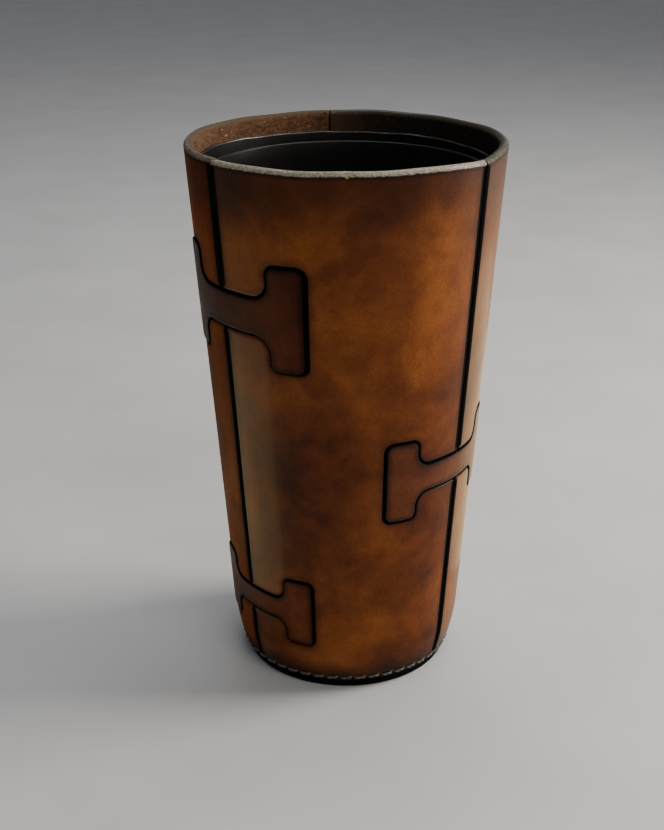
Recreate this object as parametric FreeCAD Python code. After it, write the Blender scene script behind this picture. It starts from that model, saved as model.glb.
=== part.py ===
import FreeCAD, Part
import math
import os

# Tall tapered leather dice cup. Millimetres, +Z up, origin at the centre of the underside.
# The wall is three leather panels butted edge to edge. Inlaid double-T leather keys lock the
# seams, a lining sleeve backs the panels, and a rigid liner cup is pressed inside the sleeve.
# A moulded leather dish closes the bottom and is stitched to the lower edge of the wall.
# Angles run from the front (-Y) towards +X.

# ---------------------------------------------------------------- driving dimensions
HEIGHT = 166.0
RIM_RADIUS = 47.07           # outside of the wall at the rim
BASE_RADIUS = 35.03          # the straight taper carried down to z = 0
FOOT_RADIUS = 32.0           # outside of the wall where it meets the table
HEEL_HEIGHT = 17.0           # the wall starts to curve in below this level
WALL = 2.9                   # leather thickness
RIM_ROUND = 1.3              # burnished rim
FOOT_ROUND = 0.8

SEAM_ANGLES = {"left": -52.0, "right": 55.0, "back": 187.0}
SEAM_GAP = 0.3               # between two butted panels
BEVEL = 1.1                  # each butted edge is bevelled by this much
BEVEL_DEPTH = 1.4
KEY_GAP = 0.45               # around an inlaid key

# name: (seam, centre height, head height, neck height, outer reach, inner reach, fillet)
KEYS = {
    "upper_left_key": ("left", 123.1, 31.0, 10.8, 28.4, 17.5, 5.0),
    "lower_left_key": ("left", 27.6, 22.3, 7.3, 23.3, 14.1, 4.0),
    "right_key": ("right", 72.7, 25.4, 8.6, 27.1, 17.0, 4.4),
    "upper_back_key": ("back", 98.0, 28.0, 9.6, 27.5, 17.2, 4.6),
    "lower_back_key": ("back", 48.0, 24.0, 8.0, 25.0, 15.5, 4.2),
}
FAR_SHORTER = 4.5            # the heads on the far side of a seam sit closer to it
CORNER = 2.4                 # rounded outer corners of the heads
CUT_IN, CUT_OUT = 29.0, 60.0  # radii between which the key blocks are made
KEY_PROUD = 0.4              # the keys stand a little above the wall
KEY_DEPTH = 2.75             # and stop just short of the lining

LINING = 1.2                 # lining sleeve
LINING_TOP = 160.4
LINING_FOOT = 9.6

LINER_TOP = 156.8            # rim of the liner cup
LINER_WALL = 1.5
LINER_GAP = 0.15             # easy fit inside the lining
LINER_HEEL = 18.0            # the liner starts to round in below this level
LINER_FOOT = (24.0, 3.0)     # radius and height where its rounded heel meets the flat floor
LINER_BULGE = (29.2, 8.6)    # a point on that rounding
PAD = 1.5
PAD_RADIUS = 22.0

FLANGE = 2.3                 # upturned edge of the base dish
FLANGE_TOP = 9.2
DISH_FLOOR = 2.9

STITCHES = 48
STITCH_Z = 4.35
THREAD = 0.40                # thread radius
PULLED = 0.30                # thread radius where it is pulled tight through a hole
GROOVE = 0.55                # radius of the stitching groove
AWL = 0.46                   # radius of the awl holes

V = FreeCAD.Vector
AXIS = (V(0, 0, 0), V(0, 0, 1))
os.makedirs("parts", exist_ok=True)


# ---------------------------------------------------------------- wall profile
def taper(z):
    return BASE_RADIUS + (RIM_RADIUS - BASE_RADIUS) * z / HEIGHT


SLOPE = math.atan2(RIM_RADIUS - BASE_RADIUS, HEIGHT)


def heel_arc():
    """Centre and radius of the arc that leaves the taper at the heel and ends at the foot."""
    r1, z1 = taper(HEEL_HEIGHT), HEEL_HEIGHT
    nr, nz = -math.cos(SLOPE), math.sin(SLOPE)      # towards the inside of the wall
    dr, dz = r1 - FOOT_RADIUS, z1
    radius = -(dr * dr + dz * dz) / (2 * (dr * nr + dz * nz))
    return r1 + nr * radius, z1 + nz * radius, radius


HEEL_R, HEEL_Z, HEEL_RADIUS = heel_arc()


def wall_radius(z, inset=0.0):
    """Radius at level z of the surface that lies `inset` inside the outer face."""
    shift = inset / math.cos(SLOPE)
    switch = HEEL_Z - (HEEL_RADIUS - inset) * math.sin(SLOPE)
    if z >= switch:
        return taper(z) - shift
    reach = HEEL_RADIUS - inset
    return HEEL_R + math.sqrt(reach * reach - (z - HEEL_Z) ** 2)


def side(inset, z0, z1):
    """Edges of the offset wall line from z0 up to z1."""
    def at(z):
        return V(wall_radius(z, inset), 0, z)
    switch = HEEL_Z - (HEEL_RADIUS - inset) * math.sin(SLOPE)
    if z0 >= switch - 0.01:
        return [Part.makeLine(at(z0), at(z1))]
    if z1 <= switch + 0.01:
        return [Part.Arc(at(z0), at((z0 + z1) / 2), at(z1)).toShape()]
    arc = Part.Arc(at(z0), at((z0 + switch) / 2), at(switch)).toShape()
    return [arc, Part.makeLine(at(switch), at(z1))]


def polar(r, deg, z=0.0):
    a = math.radians(deg)
    return V(r * math.sin(a), -r * math.cos(a), z)


def revolve(edges):
    wire = Part.Wire(Part.__sortEdges__(edges))
    return Part.Face(wire).revolve(AXIS[0], AXIS[1], 360)


def shell_between(outer, inner, z0, z1):
    """Ring between two offsets of the wall line."""
    a, b = side(outer, z0, z1), side(inner, z0, z1)
    ends = [Part.makeLine(V(wall_radius(z, outer), 0, z), V(wall_radius(z, inner), 0, z))
            for z in (z0, z1)]
    return revolve(a + b + ends)


def round_edges(solid, radius, level, tolerance=0.6):
    picked = [e for e in solid.Edges
              if abs(e.BoundBox.ZMin - level) < tolerance and abs(e.BoundBox.ZMax - level) < tolerance]
    return solid.makeFillet(radius, picked) if picked else solid


def sector(from_deg, to_deg):
    """Upright wedge, tall and wide enough to cut any panel out of a full ring."""
    span = (to_deg - from_deg) % 360.0
    profile = Part.Face(Part.makePolygon([V(1, 0, -10), V(90, 0, -10), V(90, 0, HEIGHT + 10),
                                          V(1, 0, HEIGHT + 10), V(1, 0, -10)]))
    wedge = profile.revolve(AXIS[0], AXIS[1], span)
    wedge.rotate(V(0, 0, 0), V(0, 0, 1), from_deg - 90.0)
    return wedge


# ---------------------------------------------------------------- keys
def key_block(spec, grow):
    """Double-T block with radial sides, long enough to pass right through the wall."""
    seam, centre, head, neck, outer, inner, fillet = spec
    seam_deg = SEAM_ANGLES[seam]
    toward_front = 1.0 if seam == "left" else -1.0
    reference = wall_radius(centre)

    def turn(distance):
        return seam_deg + toward_front * math.degrees(distance / reference)

    def bar(s0, s1, half):
        a, b = sorted((turn(s0), turn(s1)))
        block = Part.Face(Part.makePolygon([V(CUT_IN, 0, centre - half), V(CUT_OUT, 0, centre - half),
                                            V(CUT_OUT, 0, centre + half), V(CUT_IN, 0, centre + half),
                                            V(CUT_IN, 0, centre - half)]))
        block = block.revolve(AXIS[0], AXIS[1], b - a)
        block.rotate(V(0, 0, 0), V(0, 0, 1), a - 90.0)
        return block

    far_outer, far_inner = outer - FAR_SHORTER, inner - FAR_SHORTER
    head_half, neck_half = head / 2 + grow, neck / 2 + grow
    near = bar(inner - grow, outer + grow, head_half)
    far = bar(-far_outer - grow, -far_inner + grow, head_half)
    block = near.fuse([bar(-far_inner - 1.0, inner + 1.0, neck_half), far]).removeSplitter()

    reach, hollow = CUT_OUT - CUT_IN, []
    for edge in block.Edges:
        ends = [v.Point for v in edge.Vertexes]
        if len(ends) < 2 or abs(edge.Length - reach) > 0.01 or abs(ends[0].z - ends[1].z) > 0.01:
            continue
        if abs(abs(ends[0].z - centre) - neck_half) < 0.05:
            hollow.append(edge)
    block = block.makeFillet(max(fillet - grow, 0.8), hollow)
    corner = [e for e in block.Edges if abs(e.Length - reach) < 0.01
              and abs(abs(e.Vertexes[0].Point.z - centre) - head_half) < 0.01
              and abs(e.Vertexes[0].Point.z - e.Vertexes[1].Point.z) < 0.01]
    return block.makeFillet(CORNER + grow, corner)


key_blank = shell_between(-KEY_PROUD, KEY_DEPTH, 9.0, HEIGHT - 6.0)
keys, pockets = {}, {}
for name, spec in KEYS.items():
    keys[name] = key_block(spec, 0.0).common(key_blank)
    pockets.setdefault(spec[0], []).append(key_block(spec, KEY_GAP))

# ---------------------------------------------------------------- thread and its holes
thread_out = wall_radius(STITCH_Z)
thread_in = wall_radius(STITCH_Z, WALL + FLANGE)


def torus(radius, thickness):
    return Part.makeTorus(radius, thickness, V(0, 0, STITCH_Z), V(0, 0, 1))


def legs(thickness, start, end):
    """One short radial pin at each stitch hole."""
    return [Part.makeCylinder(thickness, end - start, polar(start, i * 360.0 / STITCHES, STITCH_Z),
                              polar(1.0, i * 360.0 / STITCHES)) for i in range(STITCHES)]


holes = legs(AWL, thread_in - 0.2, thread_out + 0.2)
grooves = [torus(thread_out, GROOVE), torus(thread_in, GROOVE)]
stitching = torus(thread_out, THREAD).fuse([torus(thread_in, THREAD)] + legs(PULLED, thread_in, thread_out))

# ---------------------------------------------------------------- wall panels
def seam_bevel(deg):
    """V groove made by the bevelled edges of two butted panels."""
    sections = []
    for z in (0.0, HEEL_HEIGHT * 0.3, HEEL_HEIGHT * 0.6, HEEL_HEIGHT, HEIGHT):
        r = wall_radius(z)
        half = math.degrees(BEVEL * (1 + 0.5 / BEVEL_DEPTH) / r)
        a, b, tip = polar(r + 0.5, deg - half, z), polar(r + 0.5, deg + half, z), polar(r - BEVEL_DEPTH, deg, z)
        sections.append(Part.makePolygon([a, tip, b, a]))
    return Part.makeLoft(sections, True, True)


ring = round_edges(shell_between(0.0, WALL, 0.0, HEIGHT), RIM_ROUND, HEIGHT)
foot = [e for e in ring.Edges if abs(e.BoundBox.ZMax) < 0.01 and abs(e.BoundBox.XMax - FOOT_RADIUS) < 0.05]
ring = ring.makeFillet(FOOT_ROUND, foot)
half_gap = math.degrees(SEAM_GAP / 2 / wall_radius(HEIGHT / 2))
panels = {
    "front_panel": ("left", "right"),
    "right_panel": ("right", "back"),
    "left_panel": ("back", "left"),
}
for name, (start, end) in panels.items():
    a, b = SEAM_ANGLES[start] + half_gap, SEAM_ANGLES[end] - half_gap
    panel = ring.common(sector(a, b))
    cutters = pockets[start] + pockets[end] + [grooves[0]] + holes
    cutters += [seam_bevel(SEAM_ANGLES[start]), seam_bevel(SEAM_ANGLES[end])]
    panels[name] = panel.cut(cutters)

# ---------------------------------------------------------------- lining, liner, pad, base
sleeve = round_edges(shell_between(WALL, WALL + LINING, LINING_FOOT, LINING_TOP), 0.4, LINING_TOP)


def liner_line(inset, lift):
    """Liner profile from the floor centre out, around the heel and up to the rim."""
    foot_r, foot_z = LINER_FOOT[0] - lift, LINER_FOOT[1] + lift
    bulge = V(LINER_BULGE[0] - lift * 0.87, 0, LINER_BULGE[1] + lift * 0.5)
    heel = V(wall_radius(LINER_HEEL, inset), 0, LINER_HEEL)
    rim = V(wall_radius(LINER_TOP, inset), 0, LINER_TOP)
    foot_point = V(foot_r, 0, foot_z)
    return [Part.makeLine(V(0, 0, foot_z), foot_point), Part.Arc(foot_point, bulge, heel).toShape(),
            Part.makeLine(heel, rim)]


skin = WALL + LINING + LINER_GAP
outside, inside = liner_line(skin, 0.0), liner_line(skin + LINER_WALL, LINER_WALL)
closing = [Part.makeLine(V(wall_radius(LINER_TOP, skin), 0, LINER_TOP),
                         V(wall_radius(LINER_TOP, skin + LINER_WALL), 0, LINER_TOP)),
           Part.makeLine(V(0, 0, LINER_FOOT[1]), V(0, 0, LINER_FOOT[1] + LINER_WALL))]
liner = round_edges(revolve(outside + inside + closing), 0.5, LINER_TOP)

pad = Part.makeCylinder(PAD_RADIUS, PAD, V(0, 0, LINER_FOOT[1] + LINER_WALL))
pad = pad.makeFillet(0.5, [e for e in pad.Edges if abs(e.BoundBox.ZMin - pad.BoundBox.ZMax) < 0.01])

dish_floor = revolve([Part.makeLine(V(0, 0, 0), V(wall_radius(0, WALL), 0, 0)),
                      Part.makeLine(V(0, 0, DISH_FLOOR), V(wall_radius(DISH_FLOOR, WALL), 0, DISH_FLOOR)),
                      Part.makeLine(V(0, 0, 0), V(0, 0, DISH_FLOOR))] + side(WALL, 0.0, DISH_FLOOR))
dish = dish_floor.fuse(shell_between(WALL, WALL + FLANGE, 0.0, FLANGE_TOP)).removeSplitter()
dish = dish.cut([grooves[1]] + holes)

# ---------------------------------------------------------------- export
nodes = dict(panels)
nodes.update(keys)
nodes.update({"lining_sleeve": sleeve, "liner_cup": liner, "floor_pad": pad,
              "base_disc": dish, "base_stitching": stitching})
for name, shape in nodes.items():
    solids = shape.Solids
    body = solids[0] if len(solids) == 1 else Part.makeCompound(solids)
    box = body.BoundBox
    print(name, "solids", len(solids), "valid", body.isValid(), "volume %.0f" % body.Volume,
          "z %.1f %.1f" % (box.ZMin, box.ZMax))
    body.exportStep("parts/%s.step" % name)
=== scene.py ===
import math
import random
from collections import namedtuple

import bpy
import numpy as np
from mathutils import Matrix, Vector, noise
from mathutils.geometry import delaunay_2d_cdt


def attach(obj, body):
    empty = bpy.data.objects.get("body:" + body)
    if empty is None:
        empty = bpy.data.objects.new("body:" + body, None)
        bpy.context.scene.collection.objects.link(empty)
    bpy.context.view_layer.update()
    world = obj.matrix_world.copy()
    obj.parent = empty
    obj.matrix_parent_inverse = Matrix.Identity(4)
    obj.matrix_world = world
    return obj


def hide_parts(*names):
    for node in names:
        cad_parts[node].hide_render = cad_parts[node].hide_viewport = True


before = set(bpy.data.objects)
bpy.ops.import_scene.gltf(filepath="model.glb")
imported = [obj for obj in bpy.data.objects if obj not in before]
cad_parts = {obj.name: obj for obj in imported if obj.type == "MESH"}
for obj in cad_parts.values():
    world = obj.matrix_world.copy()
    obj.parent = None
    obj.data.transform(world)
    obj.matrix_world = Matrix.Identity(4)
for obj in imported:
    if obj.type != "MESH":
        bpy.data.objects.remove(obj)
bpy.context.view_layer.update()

# Leather dice cup. Lengths below are millimetres and are turned into metres when a mesh is made.
# A point on the wall is (a, z): a is the angle from the front (-Y) towards +X times UNROLL.
MM = 0.001
random.seed(7)

HEIGHT, RIM_RADIUS, BASE_RADIUS = 166.0, 47.07, 35.03
FOOT_RADIUS, HEEL_HEIGHT = 32.0, 17.0
WALL = 2.9
UNROLL = 41.0
SEAMS = {"left": -52.0, "right": 55.0, "back": 187.0}
SEAM_GAP = 0.03
KEY_GAP = 0.42
KEY_THICK = 2.6
FAR_SHORTER = 4.5
LINING, LINING_TOP, LINING_FOOT = 1.2, 160.3, 9.7
LINER_TOP, LINER_WALL, LINER_GAP = 156.8, 1.5, 0.15
LINER_UNDERSIDE, LINER_FLOOR = 3.0, 4.5
STITCHES, STITCH_Z = 48, 4.35

# A key is a double T lying across a seam. Its head reaches from inner to outer beside the seam,
# and room is the extra clearance left beyond its near head.
Key = namedtuple("Key", "seam centre head neck outer inner fillet corner proud room")
KEYS = {
    "upper_left_key": Key("left", 123.1, 31.0, 10.8, 28.4, 17.5, 5.2, 2.6, 0.30, 0.5),
    "lower_left_key": Key("left", 27.6, 22.3, 7.3, 23.3, 14.1, 4.0, 2.2, 0.20, 0.2),
    "right_key": Key("right", 72.7, 25.4, 8.6, 27.1, 17.0, 4.4, 2.2, 0.15, 0.1),
    "upper_back_key": Key("back", 98.0, 28.0, 9.6, 27.5, 17.2, 4.6, 2.4, 0.20, 0.2),
    "lower_back_key": Key("back", 48.0, 24.0, 8.0, 25.0, 15.5, 4.2, 2.2, 0.20, 0.2),
}

# ------------------------------------------------------------------ wall shape
SLOPE = math.atan2(RIM_RADIUS - BASE_RADIUS, HEIGHT)


def taper(z):
    """Outer radius of the straight part of the wall."""
    return BASE_RADIUS + (RIM_RADIUS - BASE_RADIUS) * z / HEIGHT


def heel_arc():
    """Centre and radius of the arc that rounds the wall into the flat foot."""
    r1, nr, nz = taper(HEEL_HEIGHT), -math.cos(SLOPE), math.sin(SLOPE)
    dr, dz = r1 - FOOT_RADIUS, HEEL_HEIGHT
    radius = -(dr * dr + dz * dz) / (2 * (dr * nr + dz * nz))
    return r1 + nr * radius, HEEL_HEIGHT + nz * radius, radius


HEEL_R, HEEL_Z, HEEL_RADIUS = heel_arc()


def wall_radius(z, inset=0.0):
    """Radius of the surface that lies inset below the outer face, at height z."""
    z = np.asarray(z, float)
    reach = HEEL_RADIUS - inset
    switch = HEEL_Z - reach * math.sin(SLOPE)
    curved = HEEL_R + np.sqrt(np.maximum(reach * reach - (z - HEEL_Z) ** 2, 0.0))
    return np.where(z >= switch, taper(z) - inset / math.cos(SLOPE), curved)


def place(a, z, depth):
    """Wall coordinates and depth below the outer face, to metres."""
    r = wall_radius(z, 0.0) - depth
    phi = np.asarray(a) / UNROLL
    return np.stack([r * np.sin(phi), -r * np.cos(phi), np.asarray(z) * np.ones_like(r)], -1) * MM


def bump(x, centre, width):
    """A smooth hump of height 1."""
    return np.exp(-((np.asarray(x) - centre) / width) ** 2)


def rim_level(a):
    """Height of the rim: hand cut, so it dips a little at the two front seams."""
    left, right = (SEAMS[side] * math.pi / 180 * UNROLL for side in ("left", "right"))
    a = np.asarray(a, float)
    dip = 1.35 * bump(a, left - 2.5, 7.0) * (a < left + 0.3) + 0.25 * bump(a, left, 6.0) * (a >= left)
    dip = dip + 0.9 * bump(a, right, 7.0)
    wave = 0.13 * np.sin(a * 0.11 + 0.6) + 0.08 * np.sin(a * 0.31 + 2.0)
    return HEIGHT - 0.25 - dip + wave


def new_mesh(name, verts, faces, attributes=None, smooth=True):
    mesh = bpy.data.meshes.new(name)
    mesh.from_pydata([tuple(map(float, v)) for v in verts], [], [tuple(map(int, f)) for f in faces])
    for key, values in (attributes or {}).items():
        layer = mesh.attributes.new(key, "FLOAT", "POINT")
        layer.data.foreach_set("value", np.asarray(values, np.float32))
    mesh.polygons.foreach_set("use_smooth", [smooth] * len(mesh.polygons))
    mesh.update()
    obj = bpy.data.objects.new(name, mesh)
    bpy.context.scene.collection.objects.link(obj)
    return obj


# ------------------------------------------------------------------ outlines on the wall
SEAM_CORNER, RIM_CORNER = 0.5, 0.25


def rounded(points, step=0.75):
    """Closed outline through (x, y, corner radius), evenly cut into short runs."""
    line, count = [], len(points)
    for i, (x, y, radius) in enumerate(points):
        p, n = points[i - 1], points[(i + 1) % count]
        a, b = math.hypot(p[0] - x, p[1] - y), math.hypot(n[0] - x, n[1] - y)
        u, w = ((p[0] - x) / a, (p[1] - y) / a), ((n[0] - x) / b, (n[1] - y) / b)
        if radius <= 0.01:
            line.append((x, y))
            continue
        half = 0.5 * math.acos(max(-1.0, min(1.0, u[0] * w[0] + u[1] * w[1])))
        back = radius / math.tan(half)
        s, e = (x + u[0] * back, y + u[1] * back), (x + w[0] * back, y + w[1] * back)
        m = ((u[0] + w[0]), (u[1] + w[1]))
        ml = math.hypot(*m)
        hub = (x + m[0] / ml * radius / math.sin(half), y + m[1] / ml * radius / math.sin(half))
        t0, t1 = math.atan2(s[1] - hub[1], s[0] - hub[0]), math.atan2(e[1] - hub[1], e[0] - hub[0])
        sweep = (t1 - t0 + math.pi) % (2 * math.pi) - math.pi
        steps = max(4, int(abs(sweep) * radius / 0.45))
        line += [(hub[0] + radius * math.cos(t0 + sweep * k / steps),
                  hub[1] + radius * math.sin(t0 + sweep * k / steps)) for k in range(steps + 1)]
    out = []
    for i, p in enumerate(line):
        q = line[(i + 1) % len(line)]
        gap = math.hypot(q[0] - p[0], q[1] - p[1])
        if gap < 0.02:
            continue
        cuts = max(1, int(round(gap / step)))
        out += [(p[0] + (q[0] - p[0]) * k / cuts, p[1] + (q[1] - p[1]) * k / cuts) for k in range(cuts)]
    return np.array(out)


def seam_a(seam, full_turn=0):
    """Where a seam lies along the unrolled wall."""
    return math.radians(SEAMS[seam] + 360.0 * full_turn) * UNROLL


def reaches(spec, near):
    """Outer and inner reach of one head, measured along the unrolled wall."""
    scale = UNROLL / float(wall_radius(spec.centre))
    less = 0.0 if near else FAR_SHORTER
    return (spec.outer - less) * scale, (spec.inner - less) * scale


def notch(spec, near, origin, sign, upward):
    """The part of a key's pocket that lies on one side of its seam."""
    outer, inner = reaches(spec, near)
    half_head, half_neck = spec.head / 2 + KEY_GAP, spec.neck / 2 + KEY_GAP
    corner, fillet = spec.corner + KEY_GAP, spec.fillet - KEY_GAP
    edge = origin + sign * SEAM_GAP / 2
    shoulder = origin + sign * (inner - KEY_GAP)
    end = origin + sign * (outer + KEY_GAP + spec.room * near)
    run = [(edge, -half_neck, SEAM_CORNER), (shoulder, -half_neck, fillet),
           (shoulder, -half_head, corner), (end, -half_head, corner),
           (end, half_head, corner), (shoulder, half_head, corner),
           (shoulder, half_neck, fillet), (edge, half_neck, SEAM_CORNER)]
    run = [(x, y + spec.centre, r) for x, y, r in run]
    return run if upward else run[::-1]


def on_seam(seam):
    """The keys on one seam, the lowest first."""
    return sorted((s for s in KEYS.values() if s.seam == seam), key=lambda s: s.centre)


def panel_outline(start, end, near_start, near_end):
    """Outline of the panel between two seams, with the pockets for its halves of the keys."""
    a0, a1 = seam_a(start), seam_a(end, 1 if SEAMS[end] < SEAMS[start] else 0)
    left, right = a0 + SEAM_GAP / 2, a1 - SEAM_GAP / 2
    points = [(left, 0.0, 0.0), (right, 0.0, 0.0)]
    for spec in on_seam(end):
        points += notch(spec, near_end, a1, -1, True)
    points += [(right, HEIGHT, RIM_CORNER), (left, HEIGHT, RIM_CORNER)]
    for spec in reversed(on_seam(start)):
        points += notch(spec, near_start, a0, 1, False)
    return rounded(points)


def key_outline(spec):
    """Outline of a whole key; its near head points towards the front panel, or to the right behind."""
    toward = 1 if spec.seam == "left" else -1
    near_end, near_shoulder = reaches(spec, True)
    far_end, far_shoulder = reaches(spec, False)
    head, neck, fillet, corner = spec.head / 2, spec.neck / 2, spec.fillet, spec.corner
    points = [(near_end, -head, corner), (near_end, head, corner),
              (near_shoulder, head, corner), (near_shoulder, neck, fillet),
              (-far_shoulder, neck, fillet), (-far_shoulder, head, corner),
              (-far_end, head, corner), (-far_end, -head, corner),
              (-far_shoulder, -head, corner), (-far_shoulder, -neck, fillet),
              (near_shoulder, -neck, fillet), (near_shoulder, -head, corner)]
    origin = seam_a(spec.seam)
    points = [(origin + toward * x, y + spec.centre, r) for x, y, r in points]
    return rounded(points if toward > 0 else points[::-1], 0.7)


# ------------------------------------------------------------------ sheets of leather
# radius to which each kind of edge is rounded over, outside and inside
RIM_ROUND, FOOT_ROUND, SEAM_ROUND, POCKET_ROUND, KEY_ROUND, INNER_ROUND = 1.35, 0.9, 1.15, 0.62, 0.55, 0.4
ROUND_TURNS = [math.radians(t) for t in (90, 66, 44, 22, 0)]
FLAT_BAND = 0.55
# below this height a panel's mesh is finer, so that the thread can press a groove into it
FINE_FOOT, FINE_ROW, FINE_STEP = 8.5, 0.55, 1.0
# a pocket's edge counts as this much further from the seam, so its dyed line is thinner
POCKET_OFFSET = 1.45
GRAIN_SIDE, FLESH_SIDE, DYED_EDGE = 0, 1, 2


def ring_normals(loop):
    """Inward mitred normals of a closed outline."""
    ahead, behind = np.roll(loop, -1, 0) - loop, loop - np.roll(loop, 1, 0)
    ahead /= np.linalg.norm(ahead, axis=1)[:, None]
    behind /= np.linalg.norm(behind, axis=1)[:, None]
    n1, n2 = np.stack([-ahead[:, 1], ahead[:, 0]], 1), np.stack([-behind[:, 1], behind[:, 0]], 1)
    n = n1 + n2
    n /= np.linalg.norm(n, axis=1)[:, None]
    return n / np.maximum((n * n1).sum(1), 0.6)[:, None]


def inside_polygon(points, loop):
    x, y = points[:, 0], points[:, 1]
    inside = np.zeros(len(points), bool)
    for (x0, y0), (x1, y1) in zip(loop, np.roll(loop, -1, 0)):
        crosses = (y0 > y) != (y1 > y)
        if crosses.any():
            inside ^= crosses & (x < (x1 - x0) * (y - y0) / ((y1 - y0) or 1e-9) + x0)
    return inside


def distance_to(points, line):
    """Distance from each point to the nearest point of a line."""
    best = np.full(len(points), 1e9)
    for block in np.array_split(line, max(1, len(line) // 200)):
        gap = np.linalg.norm(points[:, None, :] - block[None, :, :], axis=2)
        best = np.minimum(best, gap.min(1))
    return best


def fill_points(loop, base, spacing, panel):
    """Evenly staggered points inside an outline, finer near a panel's foot."""
    low, high = loop.min(0), loop.max(0)
    columns = np.arange(low[0], high[0], spacing)
    rows = np.arange(low[1], high[1], spacing * 0.87)
    grid = np.array([(x + (spacing / 2 if j % 2 else 0), y) for j, y in enumerate(rows) for x in columns])
    if panel:
        columns = np.arange(low[0], high[0], FINE_STEP)
        rows = np.arange(2.1, FINE_FOOT + 0.1, FINE_ROW)
        shift = FINE_STEP / 2
        fine = np.array([(x + (shift if j % 2 else 0), y) for j, y in enumerate(rows) for x in columns])
        grid = np.vstack([grid[grid[:, 1] > FINE_FOOT], fine])
    grid = grid[inside_polygon(grid, base)]
    clear = np.where(grid[:, 1] < 9, 0.5, spacing * 0.5) if panel else spacing * 0.5
    return grid[distance_to(grid, base) > clear]


def triangulate(base, grid):
    """Triangles over the outline's points, numbered first, and the points inside it."""
    count = len(base)
    flat = [Vector(p) for p in np.vstack([base, grid])]
    edges = [(i, (i + 1) % count) for i in range(count)]
    _, _, triangles, origin, _, _ = delaunay_2d_cdt(flat, edges, [], 1, 1e-5)
    back = [o[0] if o else -1 for o in origin]
    triangles = [[back[i] for i in t] for t in triangles]
    return [t for t in triangles if min(t) >= 0]


def bend_to_rim(points):
    """Bend the top 12 mm of a panel to the hand-cut rim line."""
    moved = points.copy()
    reach = np.clip((points[:, 1] - (HEIGHT - 12.0)) / 12.0, 0, 1)
    moved[:, 1] += (rim_level(points[:, 0]) - HEIGHT) * reach
    return moved


def hollows(points, name, panel, lift):
    """How far the outer face lies below the plain wall."""
    extra = np.zeros(len(points))
    for i, (a, z) in enumerate(points):
        extra[i] = 0.16 * (0.5 + 0.5 * noise.noise(Vector((a * 0.045, z * 0.045, 3.7 + len(name)))))
    if lift is not None:
        extra = extra - lift(points)
    if panel:
        extra = extra + 0.34 * bump(points[:, 1], STITCH_Z, 0.75)
        extra = extra + 0.75 * bump(points[:, 0], 0.2, 0.75) * bump(points[:, 1], HEIGHT - 0.6, 1.3)
    return extra


def is_dyed(face, verts, attr, panel):
    """Whether a grain-side face belongs to the black edge of a seam, a key or the foot."""
    x, z = verts[face[0], 0], verts[face[0], 2]
    broad = x > 0 or z > 118.0 * MM
    limit = (1.75 if broad else 1.3) if panel else 0.4
    beside_seam = attr["seam"][face].max() < limit and attr["rim"][face].min() > 1.3
    return beside_seam or (panel and verts[face, 2].max() < 3.75 * MM)


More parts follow.
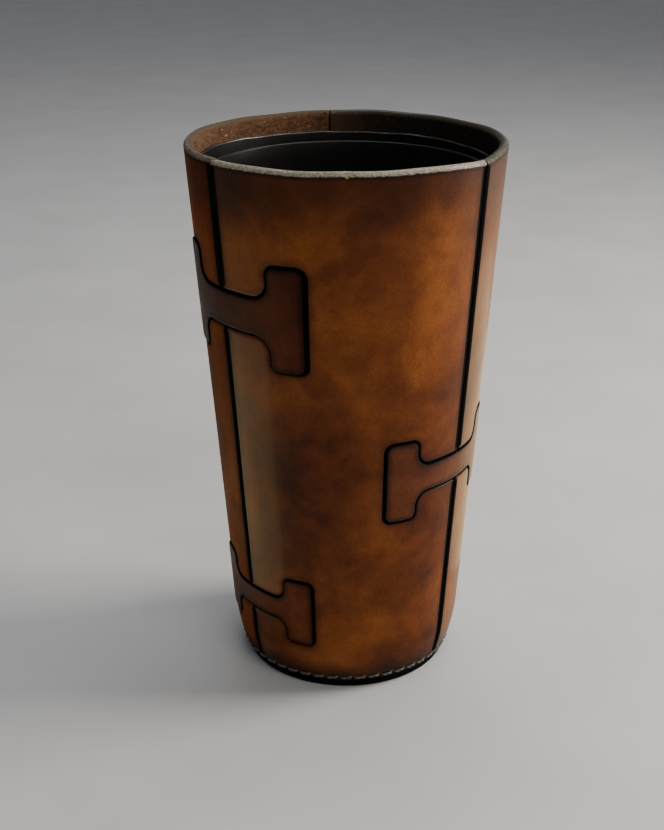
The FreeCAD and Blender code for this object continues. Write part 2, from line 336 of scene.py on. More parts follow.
def leather_sheet(name, loop, spacing, panel, thick, proud=0.0, lift=None):
    """A curved leather piece with rounded edges, from its outline on the unrolled wall.

    Its mesh carries seam, the distance to the nearest cut edge, rim, the distance below the rim,
    and deep, the depth below the outer face, all in mm, for the materials.
    """
    count = len(loop)
    nowhere = np.zeros(count, bool)
    at_rim = loop[:, 1] > HEIGHT - 0.7 if panel else nowhere
    at_foot = loop[:, 1] < 0.01 if panel else nowhere
    upright = ~(at_rim | at_foot)
    ends = loop[:, 0].min(), loop[:, 0].max()
    beside = upright & (np.minimum(np.abs(loop[:, 0] - ends[0]), np.abs(loop[:, 0] - ends[1])) < 0.05)
    if panel:
        soft = np.select([at_rim, at_foot, beside], [RIM_ROUND, FOOT_ROUND, SEAM_ROUND], POCKET_ROUND)
    else:
        soft = np.full(count, KEY_ROUND)
    tight = np.minimum(soft, np.where(at_rim, RIM_ROUND, INNER_ROUND))

    # rings of points from the outer face over the rounded edges to the inner face: inset and depth
    normals = ring_normals(loop)
    rings = [(soft + FLAT_BAND, soft * 0.0)]
    rings += [(soft * (1 - math.cos(t)), soft * (1 - math.sin(t))) for t in ROUND_TURNS]
    rings += [(tight * (1 - math.cos(t)), thick - tight * (1 - math.sin(t))) for t in reversed(ROUND_TURNS)]
    base = loop + normals * (soft + FLAT_BAND)[:, None]
    grid = fill_points(loop, base, spacing, panel)
    triangles = triangulate(base, grid)

    def seam_distance(points):
        if not panel:
            return distance_to(points, loop)
        pocket = loop[upright & ~beside]
        return np.minimum(distance_to(points, loop[beside]), distance_to(points, pocket) + POCKET_OFFSET)

    verts, attr = [], {"seam": [], "rim": [], "deep": []}

    def surface(points, depth, seam):
        shifted = bend_to_rim(points) if panel else points
        fade = np.clip(1 - depth / thick, 0, 1)
        sunk = hollows(shifted, name, panel, lift) * fade - proud * fade
        verts.append(place(shifted[:, 0], shifted[:, 1], depth + sunk))
        attr["seam"].append(seam)
        attr["rim"].append(rim_level(shifted[:, 0]) - shifted[:, 1] if panel else np.full(len(points), 99.0))
        attr["deep"].append(depth)

    away = seam_distance(loop)
    for inset, depth in rings:
        surface(loop + normals * inset[:, None], depth, np.where(upright, away + inset, away))
    seam_grid = seam_distance(grid)
    surface(grid, np.zeros(len(grid)), seam_grid)
    surface(base, np.full(count, thick), away + soft + FLAT_BAND)
    surface(grid, np.full(len(grid), thick), seam_grid)
    verts, attr = np.vstack(verts), {k: np.concatenate(v) for k, v in attr.items()}

    faces, slots = [], []
    for r in range(len(rings) - 1):
        for i in range(count):
            j = (i + 1) % count
            faces.append((r * count + i, (r + 1) * count + i, (r + 1) * count + j, r * count + j))
            slots.append(FLESH_SIDE if panel and r >= len(rings) - 2 else GRAIN_SIDE)
    last, outer_start = (len(rings) - 1) * count, len(rings) * count
    inner_start = outer_start + len(grid)
    for i in range(count):
        j = (i + 1) % count
        faces.append((last + i, inner_start + i, inner_start + j, last + j))
        slots.append(FLESH_SIDE)
    for t in triangles:
        faces.append([i if i < count else outer_start + i - count for i in t])
        slots.append(GRAIN_SIDE)
        faces.append([inner_start + i for i in reversed(t)])
        slots.append(FLESH_SIDE)
    for i, face in enumerate(faces):
        if slots[i] == GRAIN_SIDE and is_dyed(list(face), verts, attr, panel):
            slots[i] = DYED_EDGE
    obj = new_mesh(name, verts, faces, attr)
    obj.data.polygons.foreach_set("material_index", slots)
    return obj


def lathe(name, profile, segments=192, closed=True, ripple=None):
    """Revolve (r, z) points about the axis. ripple(z, phi) moves a point in z."""
    verts, faces = [], []
    count = len(profile)
    for s in range(segments):
        phi = 2 * math.pi * s / segments
        for r, z in profile:
            lift = ripple(z, phi) if ripple else 0.0
            verts.append((r * math.sin(phi) * MM, -r * math.cos(phi) * MM, (z + lift) * MM))
    for s in range(segments):
        t = (s + 1) % segments
        for k in range(count if closed else count - 1):
            m = (k + 1) % count
            faces.append((s * count + k, t * count + k, t * count + m, s * count + m))
    return new_mesh(name, verts, faces)


# ------------------------------------------------------------------ material helper
class Graph:
    """Small helper that wires shader nodes in one line each."""

    def __init__(self, name):
        self.material = bpy.data.materials.new(name)
        self.material.use_nodes = True
        self.tree = self.material.node_tree
        self.tree.nodes.clear()
        self.out = self.tree.nodes.new("ShaderNodeOutputMaterial")
        self.shader = self.tree.nodes.new("ShaderNodeBsdfPrincipled")
        self.link(self.shader.outputs[0], self.out.inputs[0])
        where = self.tree.nodes.new("ShaderNodeTexCoord")
        scaled = self.tree.nodes.new("ShaderNodeVectorMath")
        scaled.operation = "SCALE"
        scaled.inputs["Scale"].default_value = 1000.0
        self.link(where.outputs["Object"], scaled.inputs[0])
        self.mm = scaled.outputs[0]

    def link(self, a, b):
        self.tree.links.new(a, b)

    def put(self, socket, value):
        if hasattr(value, "is_output"):
            self.link(value, socket)
        else:
            socket.default_value = value

    def math(self, op, a, b=0.0):
        node = self.tree.nodes.new("ShaderNodeMath")
        node.operation = op
        self.put(node.inputs[0], a)
        self.put(node.inputs[1], b)
        return node.outputs[0]

    def stretch(self, scale):
        """Coordinates scaled along each axis, for drawn-out noise."""
        node = self.tree.nodes.new("ShaderNodeVectorMath")
        node.operation = "MULTIPLY"
        self.link(self.mm, node.inputs[0])
        node.inputs[1].default_value = scale
        return node.outputs[0]

    def noise(self, size, detail=3.0, rough=0.55, at=None, distort=0.0, seed=0.0):
        """Noise whose blotches are about `size` mm across."""
        node = self.tree.nodes.new("ShaderNodeTexNoise")
        node.noise_dimensions = "4D"
        self.link(at or self.mm, node.inputs["Vector"])
        node.inputs["W"].default_value = seed
        node.inputs["Scale"].default_value = 1.0 / size
        node.inputs["Detail"].default_value = detail
        node.inputs["Roughness"].default_value = rough
        node.inputs["Distortion"].default_value = distort
        return node.outputs[0]

    def cells(self, size):
        """Distance to the middle of the nearest of cells about `size` mm across."""
        node = self.tree.nodes.new("ShaderNodeTexVoronoi")
        self.link(self.mm, node.inputs["Vector"])
        node.inputs["Scale"].default_value = 1.0 / size
        return node.outputs["Distance"]

    def swing(self, value, amount):
        """A noise turned into a push either way, (value - 0.5) times amount."""
        return self.math("MULTIPLY", self.math("SUBTRACT", value, 0.5), amount)

    def distance(self, point):
        """Distance in mm from a point given in mm."""
        node = self.tree.nodes.new("ShaderNodeVectorMath")
        node.operation = "DISTANCE"
        self.link(self.mm, node.inputs[0])
        node.inputs[1].default_value = point
        return node.outputs["Value"]

    def range(self, value, a, b, c=0.0, d=1.0):
        """Smooth step from c at a to d at b."""
        node = self.tree.nodes.new("ShaderNodeMapRange")
        node.interpolation_type = "SMOOTHSTEP"
        self.put(node.inputs[0], value)
        for i, v in enumerate((a, b, c, d)):
            node.inputs[i + 1].default_value = v
        return node.outputs[0]

    def ramp(self, value, stops):
        node = self.tree.nodes.new("ShaderNodeValToRGB")
        self.link(value, node.inputs[0])
        bar = node.color_ramp.elements
        while len(bar) < len(stops):
            bar.new(0.5)
        for element, (position, colour) in zip(bar, stops):
            element.position, element.color = position, (*colour, 1.0)
        return node.outputs[0]

    def mix(self, factor, a, b):
        node = self.tree.nodes.new("ShaderNodeMix")
        node.data_type = "RGBA"
        self.put(node.inputs[0], factor)
        for socket, value in ((node.inputs[6], a), (node.inputs[7], b)):
            self.put(socket, value if hasattr(value, "is_output") else (*value, 1.0))
        return node.outputs[2]

    def attribute(self, name):
        node = self.tree.nodes.new("ShaderNodeAttribute")
        node.attribute_name = name
        return node.outputs["Fac"]

    def axis(self, name):
        node = self.tree.nodes.new("ShaderNodeSeparateXYZ")
        self.link(self.mm, node.inputs[0])
        return node.outputs[name]

    def bumps(self, layers):
        """layers: (height socket, strength, distance in mm), the coarsest first."""
        normal = None
        for height, strength, distance in layers:
            node = self.tree.nodes.new("ShaderNodeBump")
            node.inputs["Strength"].default_value = strength
            node.inputs["Distance"].default_value = distance * MM
            self.link(height, node.inputs["Height"])
            if normal:
                self.link(normal, node.inputs["Normal"])
            normal = node.outputs[0]
        self.link(normal, self.shader.inputs["Normal"])

    def set(self, **values):
        for key, value in values.items():
            self.put(self.shader.inputs[key.replace("_", " ")], value)


# ------------------------------------------------------------------ materials
BLACK_EDGE = (0.0035, 0.0028, 0.0024)
CHIP, CHIP_YELLOW = (0.2, -46.8, 164.70), (0.40, 0.27, 0.10)


def shade(colour, factor):
    return tuple(c * factor for c in colour)


def dye(g, layers, tones, patches):
    """Clouds of dye, plus wider darker or lighter patches at listed places."""
    big, medium, fine = layers
    dark, middle, light = tones
    blend = g.math("ADD", g.math("MULTIPLY", big, 0.70), g.math("MULTIPLY", medium, 0.30))
    blend = g.math("ADD", blend, g.swing(fine, 0.05))
    for degrees, height, reach, amount in patches:
        centre = [float(c) / MM for c in place(math.radians(degrees) * UNROLL, height, 0.0)]
        blend = g.math("ADD", blend, g.range(g.distance(centre), 0.25 * reach, reach, amount, 0.0))
    return g.ramp(blend, [(0.31, dark), (0.47, middle), (0.64, light)])


def wear(g, colour, pores, tones, seed):
    """Dye left in pores and flecks, and a few pale scratches."""
    dark, _, light = tones
    colour = g.mix(g.range(pores, 0.30, 0.62, 0.0, 0.18), colour, dark)
    flecks = g.noise(0.9, 2.0, 0.5, seed=seed + 5)
    colour = g.mix(g.range(flecks, 0.66, 0.74, 0.0, 0.25), colour, shade(dark, 0.35))
    scratch = g.noise(1.0, 2.0, 0.5, at=g.stretch((0.10, 0.10, 1.9)), seed=seed + 9, distort=1.4)
    return g.mix(g.range(scratch, 0.70, 0.76, 0.0, 0.16), colour, shade(light, 1.9))


def worked_edges(g, colour, dark, seed, panel, black, burnt):
    """A burnt shade and a black line along the seams and round the keys."""
    seam = g.attribute("seam")
    wobble = g.swing(g.noise(2.6, 3.0, seed=seed + 3), 1.6)
    colour = g.mix(g.range(g.math("ADD", seam, wobble), 0.2, burnt, 0.82, 0.0), colour, shade(dark, 0.30))
    if panel:
        # the lower part of the left seam has a thinner line
        low, left = g.range(g.axis("Z"), 100.0, 140.0, 0.75, 0.0), g.range(g.axis("X"), -6.0, 6.0, 1.0, 0.0)
        seam = g.math("ADD", seam, g.math("MULTIPLY", low, left))
    edge = g.math("ADD", seam, g.math("MULTIPLY", wobble, 0.14))
    return g.mix(g.range(edge, black - 0.28, black, 1.0, 0.0), colour, BLACK_EDGE)


def panel_ends(g, colour, layers, dark, seed, rim_tone, inner_rim):
    """Darker leather near rim and foot, and the grey burnished rim; also gives where the rim is."""
    big, medium, fine = layers
    rim, z = g.attribute("rim"), g.axis("Z")
    top = g.math("ADD", rim, g.swing(big, 18.0))
    colour = g.mix(g.range(top, 1.0, 26.0, 0.66, 0.0), colour, shade(dark, 0.55))
    low = g.math("ADD", z, g.swing(medium, 5.0))
    colour = g.mix(g.range(low, 3.5, 13.0, 0.85, 0.0), colour, shade(dark, 0.30))
    colour = g.mix(g.range(z, 3.6, 4.7, 0.9, 0.0), colour, BLACK_EDGE)
    # raw fibres on the rim, with a dark line below them and one pale chip
    fibre = g.noise(0.55, 4.0, 0.65, at=g.stretch((0.8, 0.8, 1.6)), seed=seed + 4)
    grey = g.ramp(fibre, [(0.30, shade((0.030, 0.024, 0.018), rim_tone)),
                          (0.50, shade((0.100, 0.088, 0.070), rim_tone)),
                          (0.72, shade((0.210, 0.190, 0.150), rim_tone))])
    torn = g.math("ADD", g.attribute("deep"), g.swing(fibre, 1.8))
    grey = g.mix(g.range(torn, 1.2, 1.9, 0.0, 0.85), grey, inner_rim)
    edge = g.math("ADD", rim, g.swing(fine, 0.9))
    on_rim = g.range(edge, 1.0, 1.45, 1.0, 0.0)
    colour = g.mix(on_rim, colour, grey)
    line = g.math("MULTIPLY", g.range(edge, 1.0, 1.4, 0.0, 1.0), g.range(edge, 1.5, 2.8, 1.0, 0.0))
    colour = g.mix(g.math("MULTIPLY", line, 0.75), colour, shade(dark, 0.25))
    return g.mix(g.range(g.distance(CHIP), 0.40, 0.75, 0.85, 0.0), colour, CHIP_YELLOW), on_rim


def leather(name, tones, seed, panel=True, black=1.95, burnt=4.2, dull=0.0, rim_tone=1.0, wax=0.12,
            gloss=0.045, patches=(), inner_rim=(0.05, 0.035, 0.022)):
    """Antiqued vegetable-tanned leather: blotchy dye, dark worked edges, pores and creases.

    tones are the dark, middle and light dye. patches are wider darker or lighter areas, as degrees
    from the front, height, reach and amount. black and burnt are how far the edge colours reach.
    """
    g = Graph(name)
    big = g.noise(26.0, 4.0, 0.55, distort=0.6, seed=seed)
    medium = g.noise(7.0, 5.0, 0.62, seed=seed + 1)
    fine = g.noise(1.1, 4.0, 0.6, seed=seed + 2)
    pores = g.cells(0.55)
    colour = dye(g, (big, medium, fine), tones, patches)
    colour = wear(g, colour, pores, tones, seed)
    colour = worked_edges(g, colour, tones[0], seed, panel, black, burnt)
    rough = g.range(medium, 0.3, 0.7, 0.42 + dull, 0.56 + dull)
    if panel:
        colour, on_rim = panel_ends(g, colour, (big, medium, fine), tones[0], seed, rim_tone, inner_rim)
        rough = g.math("ADD", rough, g.math("MULTIPLY", on_rim, 0.12))
    g.set(Base_Color=colour, Roughness=rough, Specular_IOR_Level=gloss, Coat_Weight=wax, Coat_Roughness=0.17)
    crease = g.noise(2.2, 5.0, 0.68, seed=seed + 6)
    g.bumps([(big, 0.35, 1.2), (crease, 0.30, 0.35), (pores, 0.26, 0.12), (fine, 0.22, 0.10)])
    return g.material


def suede(name, dark, light, flake, amount, seed, nap=0.06, seam_brown=0.0):
    """Rough flesh side of the leather or felt, with a worn grey rim and loose pale fibres."""
    g = Graph(name)
    rim = g.attribute("rim")
    fuzz = g.noise(0.8, 6.0, 0.75, at=g.stretch((0.55, 0.55, 1.5)), seed=seed)
    patch = g.noise(4.0, 5.0, 0.65, at=g.stretch((0.6, 0.6, 1.3)), seed=seed + 1)
    colour = g.ramp(g.math("ADD", g.math("MULTIPLY", fuzz, 0.6), g.math("MULTIPLY", patch, 0.4)),
                    [(0.36, dark), (0.64, light)])
    torn = g.noise(0.8, 4.0, 0.7, at=g.stretch((0.6, 0.6, 1.3)), seed=seed + 2)
    colour = g.mix(g.range(torn, 0.60, 0.68, 0.0, amount), colour, flake)
    if seam_brown:
        # brown fades into the near-black flesh side beside the seam
        near = g.math("ADD", g.attribute("seam"), g.swing(torn, 16.0))
        colour = g.mix(g.range(near, 1.0, 17.0, seam_brown, 0.0), colour, (0.060, 0.030, 0.015))
    ragged = g.math("ADD", rim, g.swing(torn, 2.6))
    colour = g.mix(g.range(ragged, 0.5, 1.5, 0.85, 0.0), colour, (0.060, 0.045, 0.033))
    g.set(Base_Color=colour, Roughness=0.86, Specular_IOR_Level=0.10, Sheen_Weight=nap, Sheen_Roughness=0.5)
    g.bumps([(patch, 0.5, 0.5), (fuzz, 0.75, 0.45)])
    return g.material


def moulded(name, colour, rough, seed, streak):
    """Black plastic or coated board: faint handling marks and upright drag lines."""
    g = Graph(name)
    marks = g.noise(9.0, 5.0, 0.6, seed=seed)
    lines = g.noise(0.7, 3.0, 0.6, at=g.stretch((1.0, 1.0, 0.03)), seed=seed + 1)
    dust = g.noise(0.4, 2.0, 0.5, seed=seed + 2)
    dusty = tuple(c * 3.5 + 0.004 for c in colour)
    base = g.mix(g.range(dust, 0.62, 0.75, 0.0, 0.4), colour, dusty)
    g.set(Base_Color=base, Roughness=g.range(marks, 0.3, 0.7, rough, rough + 0.14), Specular_IOR_Level=0.10)
    g.bumps([(marks, 0.2, 0.4), (lines, 0.25 + streak, 0.06)])
    return g.material


def thread_material():
    """Grey-black waxed linen thread."""
    g = Graph("waxed_thread")
    ply = g.noise(0.35, 3.0, 0.6, seed=4.0)
    wax = g.noise(3.0, 3.0, 0.6, seed=8.0)
    colour = g.ramp(ply, [(0.3, (0.018, 0.018, 0.013)), (0.7, (0.100, 0.099, 0.076))])
    colour = g.mix(g.range(wax, 0.35, 0.65, 0.35, 0.0), colour, (0.02, 0.016, 0.011))
    g.set(Base_Color=colour, Roughness=0.55, Specular_IOR_Level=0.45, Sheen_Weight=0.2)
    g.bumps([(ply, 0.6, 0.1)])
    return g.material


def black_dye():
    """Matt black edge dye over worn leather."""
    g = Graph("edge_dye")
    worn, fine = g.noise(1.6, 4.0, 0.6, seed=5.0), g.noise(0.35, 3.0, 0.6, seed=6.0)
    colour = g.ramp(worn, [(0.35, (0.0016, 0.0013, 0.0011)), (0.62, (0.0045, 0.0036, 0.0030)),
                           (0.75, (0.012, 0.008, 0.0055))])
    g.set(Base_Color=colour, Roughness=g.range(worn, 0.3, 0.7, 0.7, 0.9), Specular_IOR_Level=0.02)
    g.bumps([(worn, 0.3, 0.2), (fine, 0.3, 0.08)])
    return g.material


def edge_with_painted_highlight(name, tone, seed):
    """Glossy trimmed edge of a dark sheet; its lighter grey is a painted highlight, broken by dark nicks
    here and there.
    """
    g = Graph(name)
    nick = g.noise(1.4, 4.0, 0.65, seed=seed)
    blur = g.noise(9.0, 3.0, 0.6, seed=seed + 1)
    blend = g.math("ADD", g.math("MULTIPLY", nick, 0.45), g.math("MULTIPLY", blur, 0.55))
    colour = g.ramp(blend, [(0.42, (0.006, 0.006, 0.006)), (0.54, (tone, tone, tone * 1.02)),
                            (0.66, (tone * 3, tone * 3, tone * 3))])
    g.set(Base_Color=colour, Roughness=0.28, Specular_IOR_Level=0.5)
    g.bumps([(nick, 0.3, 0.15)])
    return g.material


def sanded_base():
    """Sanded brown underside of the base."""
    g = Graph("base_leather")
    scuff, ring = g.noise(3.0, 5.0, 0.65, seed=51.0), g.noise(12.0, 3.0, 0.5, seed=52.0)
    blend = g.math("ADD", g.math("MULTIPLY", scuff, 0.5), g.math("MULTIPLY", ring, 0.5))
    tone = g.ramp(blend, [(0.35, (0.022, 0.011, 0.006)), (0.65, (0.105, 0.052, 0.026))])
    g.set(Base_Color=tone, Roughness=g.range(scuff, 0.3, 0.7, 0.55, 0.8), Specular_IOR_Level=0.4)
    g.bumps([(scuff, 0.4, 0.3), (g.cells(0.6), 0.3, 0.12)])
    return g.material


def pale_floor():
    g = Graph("studio_floor")
    colour = g.ramp(g.noise(60.0, 3.0), [(0.3, (0.50, 0.50, 0.505)), (0.7, (0.56, 0.56, 0.565))])
    g.set(Base_Color=colour, Roughness=0.55)
    return g.material


# ------------------------------------------------------------------ wall panels and keys
EDGE_DYE = black_dye()
WALL_LEATHER = {
    "front_panel": leather(
        "front_leather", ((0.038, 0.0088, 0.0026), (0.120, 0.0298, 0.0056), (0.222, 0.0645, 0.0108)), 1.0,
        rim_tone=2.5, inner_rim=(0.12, 0.10, 0.08),
        # darker and lighter areas at listed places; the dark ones low on the right darken the lower right
        patches=((-12, 68, 30, -0.085), (-20, 42, 20, -0.02), (16, 125, 34, 0.055), (30, 95, 26, 0.02),
                 (6, 28, 17, 0.07), (-22, 100, 18, 0.03), (0, 155, 26, -0.03), (36, 48, 28, -0.06),
                 (36, 13, 17, -0.13), (40, 92, 22, -0.04), (34, 150, 18, 0.06))),
    "left_panel": leather(
        "left_leather", ((0.066, 0.0126, 0.0028), (0.172, 0.0390, 0.0064), (0.285, 0.0800, 0.0150)), 21.0,
        rim_tone=1.2, wax=0.0, gloss=0.02, dull=0.14, inner_rim=(0.07, 0.045, 0.025)),
    "right_panel": leather(
        "right_leather", ((0.050, 0.0135, 0.0024), (0.140, 0.0440, 0.0070), (0.240, 0.0820, 0.0150)), 41.0,
        rim_tone=0.75, wax=0.30, inner_rim=(0.030, 0.020, 0.012)),
}
FLESH = {
    "front_panel": suede("front_flesh", (0.030, 0.014, 0.008), (0.120, 0.062, 0.034),
                         (0.26, 0.17, 0.10), 0.6, 3.0),
    "left_panel": suede("left_flesh", (0.010, 0.0040, 0.0018), (0.150, 0.066, 0.0300),
                        (0.40, 0.26, 0.14), 0.75, 13.0),
    "right_panel": suede("right_flesh", (0.0045, 0.0036, 0.0028), (0.0200, 0.0140, 0.0095),
                         (0.100, 0.044, 0.020), 0.75, 23.0, nap=0.0, seam_brown=0.75),
}
# each panel's two seams, and whether it takes the near half of the keys on them
PANELS = {
    "front_panel": ("left", "right", True, True),
    "right_panel": ("right", "back", False, True),
    "left_panel": ("back", "left", False, False),
}
for node, (start, end, near_start, near_end) in PANELS.items():
    outline = panel_outline(start, end, near_start, near_end)
    piece = leather_sheet(node + "_leather", outline, 2.1, True, WALL)
    for layer in (WALL_LEATHER[node], FLESH[node], EDGE_DYE):
        piece.data.materials.append(layer)
    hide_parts(node)
    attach(piece, "root")

KEY_TONES = {
    "upper_left_key": ((0.023, 0.0060, 0.0027), (0.060, 0.0150, 0.0062), (0.102, 0.0275, 0.0108)),
    "lower_left_key": ((0.036, 0.0086, 0.0036), (0.092, 0.0225, 0.0078), (0.156, 0.0430, 0.0145)),
    "right_key": ((0.026, 0.0058, 0.0018), (0.075, 0.0180, 0.0042), (0.136, 0.0372, 0.0080)),
    "upper_back_key": ((0.027, 0.0062, 0.0014), (0.074, 0.0190, 0.0032), (0.130, 0.0380, 0.0060)),
    "lower_back_key": ((0.030, 0.0070, 0.0016), (0.080, 0.0205, 0.0034), (0.138, 0.0400, 0.0064)),
}
KEY_SEEDS = {"upper_left_key": 61.0, "lower_left_key": 67.0, "right_key": 73.0,
             "upper_back_key": 79.0, "lower_back_key": 83.0}


def tip_spring(seam):
    """How far the stiff ends of a key on this seam spring out from the round wall."""
    origin, toward = seam_a(seam), 1 if seam == "left" else -1

    def lift(points):
        reach = np.abs(points[:, 0] - origin)
        far = toward * (points[:, 0] - origin) < 0
        return np.clip((reach - 12.0) / 16.0, 0, 1) ** 1.5 * np.where(far, 0.65, 0.25)

    return lift


for node, spec in KEYS.items():
    at_back = spec.seam == "back"
    piece = leather_sheet(node + "_leather", key_outline(spec), 1.7, False, KEY_THICK, spec.proud,
                          tip_spring(spec.seam))
    grain = leather(node + "_dye", KEY_TONES[node], KEY_SEEDS[node], panel=False, black=0.34, burnt=2.4,
                    dull=0.12 if at_back else 0.02, wax=0.18 if node == "right_key" else 0.015,
                    gloss=0.025 if at_back else 0.05)
    for layer in (grain, grain, EDGE_DYE):
        piece.data.materials.append(layer)
    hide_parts(node)
    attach(piece, "root")


# ------------------------------------------------------------------ lining, liner and pad
def offset_line(inset, low, high, steps):
    """Points of the wall's profile, moved inwards by inset."""
    return [(float(wall_radius(z, inset)), z) for z in np.linspace(low, high, steps)]


def lining_cut(z, phi):
    """The hand-trimmed upper edge of the lining wanders and slopes a little."""
    if z < 150:
        return 0.0
    wave = 0.16 * math.sin(3 * phi + 0.5) + 0.10 * math.sin(8 * phi) + 0.07 * math.sin(19 * phi + 1.0)
    return -0.75 - 0.55 * math.sin(phi) + wave


def painted_highlight_edge(obj, above, material, inside=math.inf):
    """Give the faces above a level, and within a radius of the axis, their own finish, which carries a
    painted highlight.
    """
    obj.data.materials.append(material)
    for face in obj.data.polygons:
        lowest = min(obj.data.vertices[i].co.z for i in face.vertices)
        if lowest > above * MM and math.hypot(face.center.x, face.center.y) <= inside * MM:
            face.material_index = 1


def lining_sleeve():
    outer = offset_line(WALL + 0.04, LINING_FOOT, LINING_TOP - 0.45, 40)
    inner = offset_line(WALL + LINING, LINING_TOP - 0.3, LINING_FOOT, 40)
    r_out, r_in = outer[-1][0], inner[0][0]
    crown = [(r_out - 0.15, LINING_TOP - 0.12), (r_out - 0.45, LINING_TOP), (r_in + 0.42, LINING_TOP),
             (r_in + 0.20, LINING_TOP - 0.04), (r_in + 0.06, LINING_TOP - 0.14)]
    sleeve = lathe("lining_sleeve_black", outer + crown + inner, 256, True, lining_cut)
    sleeve.data.materials.append(moulded("black_lining", (0.0024, 0.0021, 0.0019), 0.45, 91.0, 0.25))
    # within this radius the lining's top edge gets the finish with the painted highlight
    painted_highlight_radius = float(wall_radius(LINING_TOP, WALL + LINING)) + 0.35
    painted_highlight_edge(sleeve, LINING_TOP - 2.2, edge_with_painted_highlight("lining_edge_painted_highlight", 0.045, 93.0), painted_highlight_radius)
    return sleeve


def liner_cup():
    """One moulded wall: flat floor, rounded heel, tapered side and a rounded lip."""
    skin = WALL + LINING + LINER_GAP
    turns = np.linspace(0, math.pi / 2, 12)
    heel = [(24.0 + 6.9 * math.sin(t) ** 1.15, LINER_UNDERSIDE + 15.0 * (1 - math.cos(t))) for t in turns]
    heel_out = [(min(r, float(wall_radius(18, skin))), z) for r, z in heel]
    heel_in = [(r - 1.45, max(z + 0.55, LINER_FLOOR)) for r, z in heel_out]
    wall_out = offset_line(skin, 20.0, LINER_TOP - 0.5, 36)
    wall_in = offset_line(skin + LINER_WALL, LINER_TOP - 0.5, 20.0, 36)
    r_out, r_in = wall_out[-1][0], wall_in[0][0]
    lip = [(r_out - 0.12, LINER_TOP - 0.15), (r_out - 0.4, LINER_TOP), ((r_out + r_in) / 2, LINER_TOP),
           (r_in + 0.4, LINER_TOP), (r_in + 0.12, LINER_TOP - 0.15)]
    underside = [(0.01, LINER_UNDERSIDE), (12.0, LINER_UNDERSIDE)]
    upside = [(12.0, LINER_FLOOR), (0.01, LINER_FLOOR)]
    profile = underside + heel_out + wall_out + lip + wall_in + heel_in[::-1] + upside
    liner = lathe("liner_cup_moulded", profile, 256, False)
    liner.data.materials.append(moulded("liner_plastic", (0.0045, 0.0045, 0.0046), 0.36, 97.0, 0.1))
    # the lip's top faces get the finish with the painted highlight
    painted_highlight_edge(liner, LINER_TOP - 0.2, edge_with_painted_highlight("liner_lip_painted_highlight", 0.012, 95.0))
    return liner


def floor_pad():
    profile = [(0.01, 4.52), (21.9, 4.52), (22.0, 4.8), (22.0, 5.5), (21.7, 5.85), (21.0, 5.98),
               (10.0, 5.95), (0.01, 5.93)]
    pad = lathe("floor_pad_felt", profile, 128, False)
    felt = suede("black_felt", (0.012, 0.012, 0.012), (0.045, 0.043, 0.040), (0.09, 0.085, 0.08), 0.4, 33.0)
    pad.data.materials.append(felt)
    return pad


sleeve = lining_sleeve()
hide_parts("lining_sleeve")
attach(sleeve, "root")

liner = liner_cup()
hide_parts("liner_cup")
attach(liner, "root")

pad = floor_pad()
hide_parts("floor_pad")
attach(pad, "root")

# the base dish keeps its CAD shape
base_leather = sanded_base()
for material_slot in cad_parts["base_disc"].material_slots:
    material_slot.material = base_leather


# ------------------------------------------------------------------ saddle stitching
PLY_RADIUS = 0.27
PLY_OFFSET = PLY_RADIUS * 0.8
SPAN, SLANT, TWIST = 0.82, 0.24, 1.15  # share of the pitch, rise at each end in mm, turns of the plies
FLANGE = 2.3                           # thickness of the base's upturned edge


def strand(path, radius, sides=7):
    """Tube along a list of points, closed at both ends."""
    verts, faces = [], []
    path = [Vector(p) for p in path]
    for i, p in enumerate(path):
        ahead = (path[min(i + 1, len(path) - 1)] - path[max(i - 1, 0)]).normalized()
        side = ahead.cross(Vector((0, 0, 1))).normalized()
        up = side.cross(ahead)
        for k in range(sides):
            t = 2 * math.pi * k / sides
            verts.append(p + (side * math.cos(t) + up * math.sin(t)) * radius)
    for i in range(len(path) - 1):
        for k in range(sides):
            m = (k + 1) % sides
            faces.append((i * sides + k, i * sides + m, (i + 1) * sides + m, (i + 1) * sides + k))
    faces.append(tuple(range(sides))[::-1])
    faces.append(tuple((len(path) - 1) * sides + k for k in range(sides)))
    return verts, faces


def stitches(name, inset, dive):
    """One slanted, twisted stitch from each awl hole to the next; its ends dive into the holes."""
    verts, faces = [], []
    pitch = 2 * math.pi / STITCHES
    for n in range(STITCHES):
        jitter = random.uniform(-0.1, 0.1)
        for ply in range(2):
            path = []
            for k in range(15):
                u = k / 14.0
                phi = (n - SPAN / 2 + SPAN * u) * pitch
                sink = (abs(2 * u - 1) ** 5) * dive
                turn = 2 * math.pi * (TWIST * u + ply / 2)
                slant = SLANT * (u - 0.5) * 2
                z = STITCH_Z + slant + jitter * math.sin(math.pi * u) + PLY_OFFSET * math.cos(turn)
                r = float(wall_radius(z, inset)) - sink + PLY_OFFSET * math.sin(turn)
                path.append((r * math.sin(phi) * MM, -r * math.cos(phi) * MM, z * MM))
            v, f = strand(path, PLY_RADIUS * MM)
            faces += [tuple(i + len(verts) for i in face) for face in f]
            verts += v
    return new_mesh(name, verts, faces)


waxed_thread = thread_material()
FLANGE_FACE = WALL + FLANGE
STITCH_ROWS = (("base_stitches_outside", 0.10, 0.75), ("base_stitches_inside", FLANGE_FACE - 0.1, -0.75))
for name, inset, dive in STITCH_ROWS:
    seam_thread = stitches(name, inset, dive)
    seam_thread.data.materials.append(waxed_thread)
    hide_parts("base_stitching")
    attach(seam_thread, "root")

# ------------------------------------------------------------------ stage, light and camera
FLOOR_HALF = 4.0
corners = [(-FLOOR_HALF, -FLOOR_HALF, 0), (FLOOR_HALF, -FLOOR_HALF, 0),
           (FLOOR_HALF, FLOOR_HALF, 0), (-FLOOR_HALF, FLOOR_HALF, 0)]
floor = new_mesh("studio_floor", corners, [(0, 1, 2, 3)])
floor.data.materials.append(pale_floor())

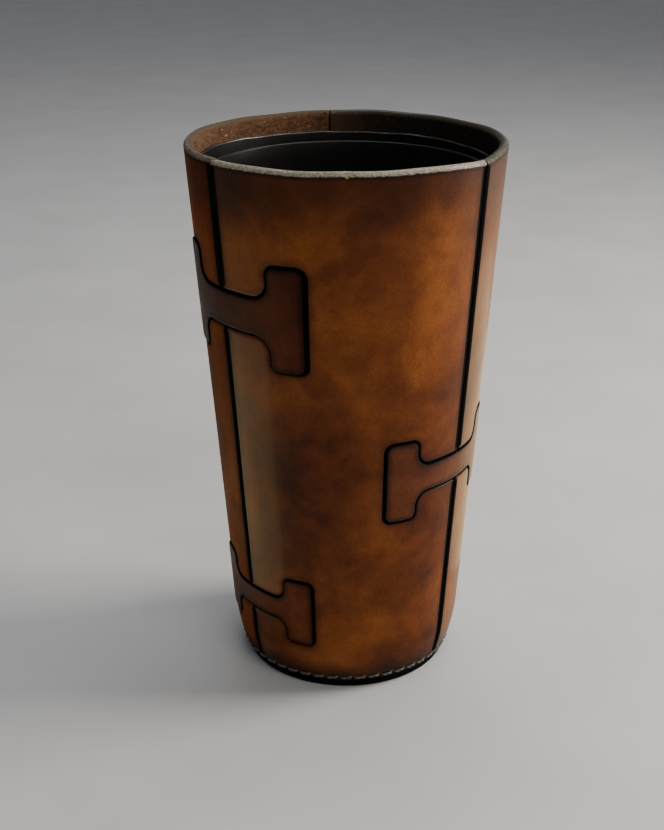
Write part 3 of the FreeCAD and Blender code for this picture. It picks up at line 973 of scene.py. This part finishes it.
world = bpy.data.worlds.new("studio")
world.use_nodes = True
sky = world.node_tree.nodes["Background"]
sky.inputs["Color"].default_value = (0.62, 0.64, 0.68, 1)
sky.inputs["Strength"].default_value = 0.32
bpy.context.scene.world = world


def area(name, spot, target, width, height, power, colour=(1, 1, 1)):
    """A rectangular lamp at a spot, facing a target."""
    light = bpy.data.lights.new(name, "AREA")
    light.shape, light.size, light.size_y = "RECTANGLE", width, height
    light.energy, light.color = power, colour
    obj = bpy.data.objects.new(name, light)
    obj.location = spot
    obj.rotation_euler = (Vector(target) - Vector(spot)).to_track_quat("-Z", "Y").to_euler()
    bpy.context.scene.collection.objects.link(obj)
    return obj


def reflector(name, x, y, length, width, turn, power, colour):
    """A low panel facing up that shows only in the leather's gloss, as pale stone beside it would."""
    obj = area(name, (x, y, 0.004), (x, y, 1.0), length, width, power, colour)
    obj.rotation_euler = (math.pi, 0.0, math.radians(turn))
    obj.visible_diffuse = False
    obj.visible_camera = False


MIDDLE = (0, 0, 0.08)
area("window_right", (0.75, 0.10, 0.42), MIDDLE, 0.35, 0.7, 12.0, (1.0, 0.94, 0.84))
area("front_fill", (0.35, -0.75, 0.75), MIDDLE, 0.6, 0.5, 3.6, (1.0, 0.95, 0.86))
reflector("left_reflector", -0.176, -0.012, 0.20, 0.16, 22.0, 0.235, (1.0, 0.89, 0.50))
reflector("right_reflector", 0.170, 0.180, 0.34, 0.20, 29.0, 0.33, (1.0, 0.79, 0.37))
area("top_soft", (0.1, 0.3, 0.95), (0, 0, 0.1), 0.7, 0.7, 4.0)

# the camera looks down at the photograph's angle, and the shift frames the cup as it does
camera_data = bpy.data.cameras.new("camera")
camera_data.lens, camera_data.sensor_width = 59.56, 36.0
camera_data.shift_x = -0.0171445783
camera_data.clip_start = 0.01
camera = bpy.data.objects.new("camera", camera_data)
camera.location = (0.0, -0.3975, 0.2433)
camera.rotation_euler = (math.radians(90.0 - 22.46), 0.0, 0.0)
bpy.context.scene.collection.objects.link(camera)
bpy.context.scene.camera = camera
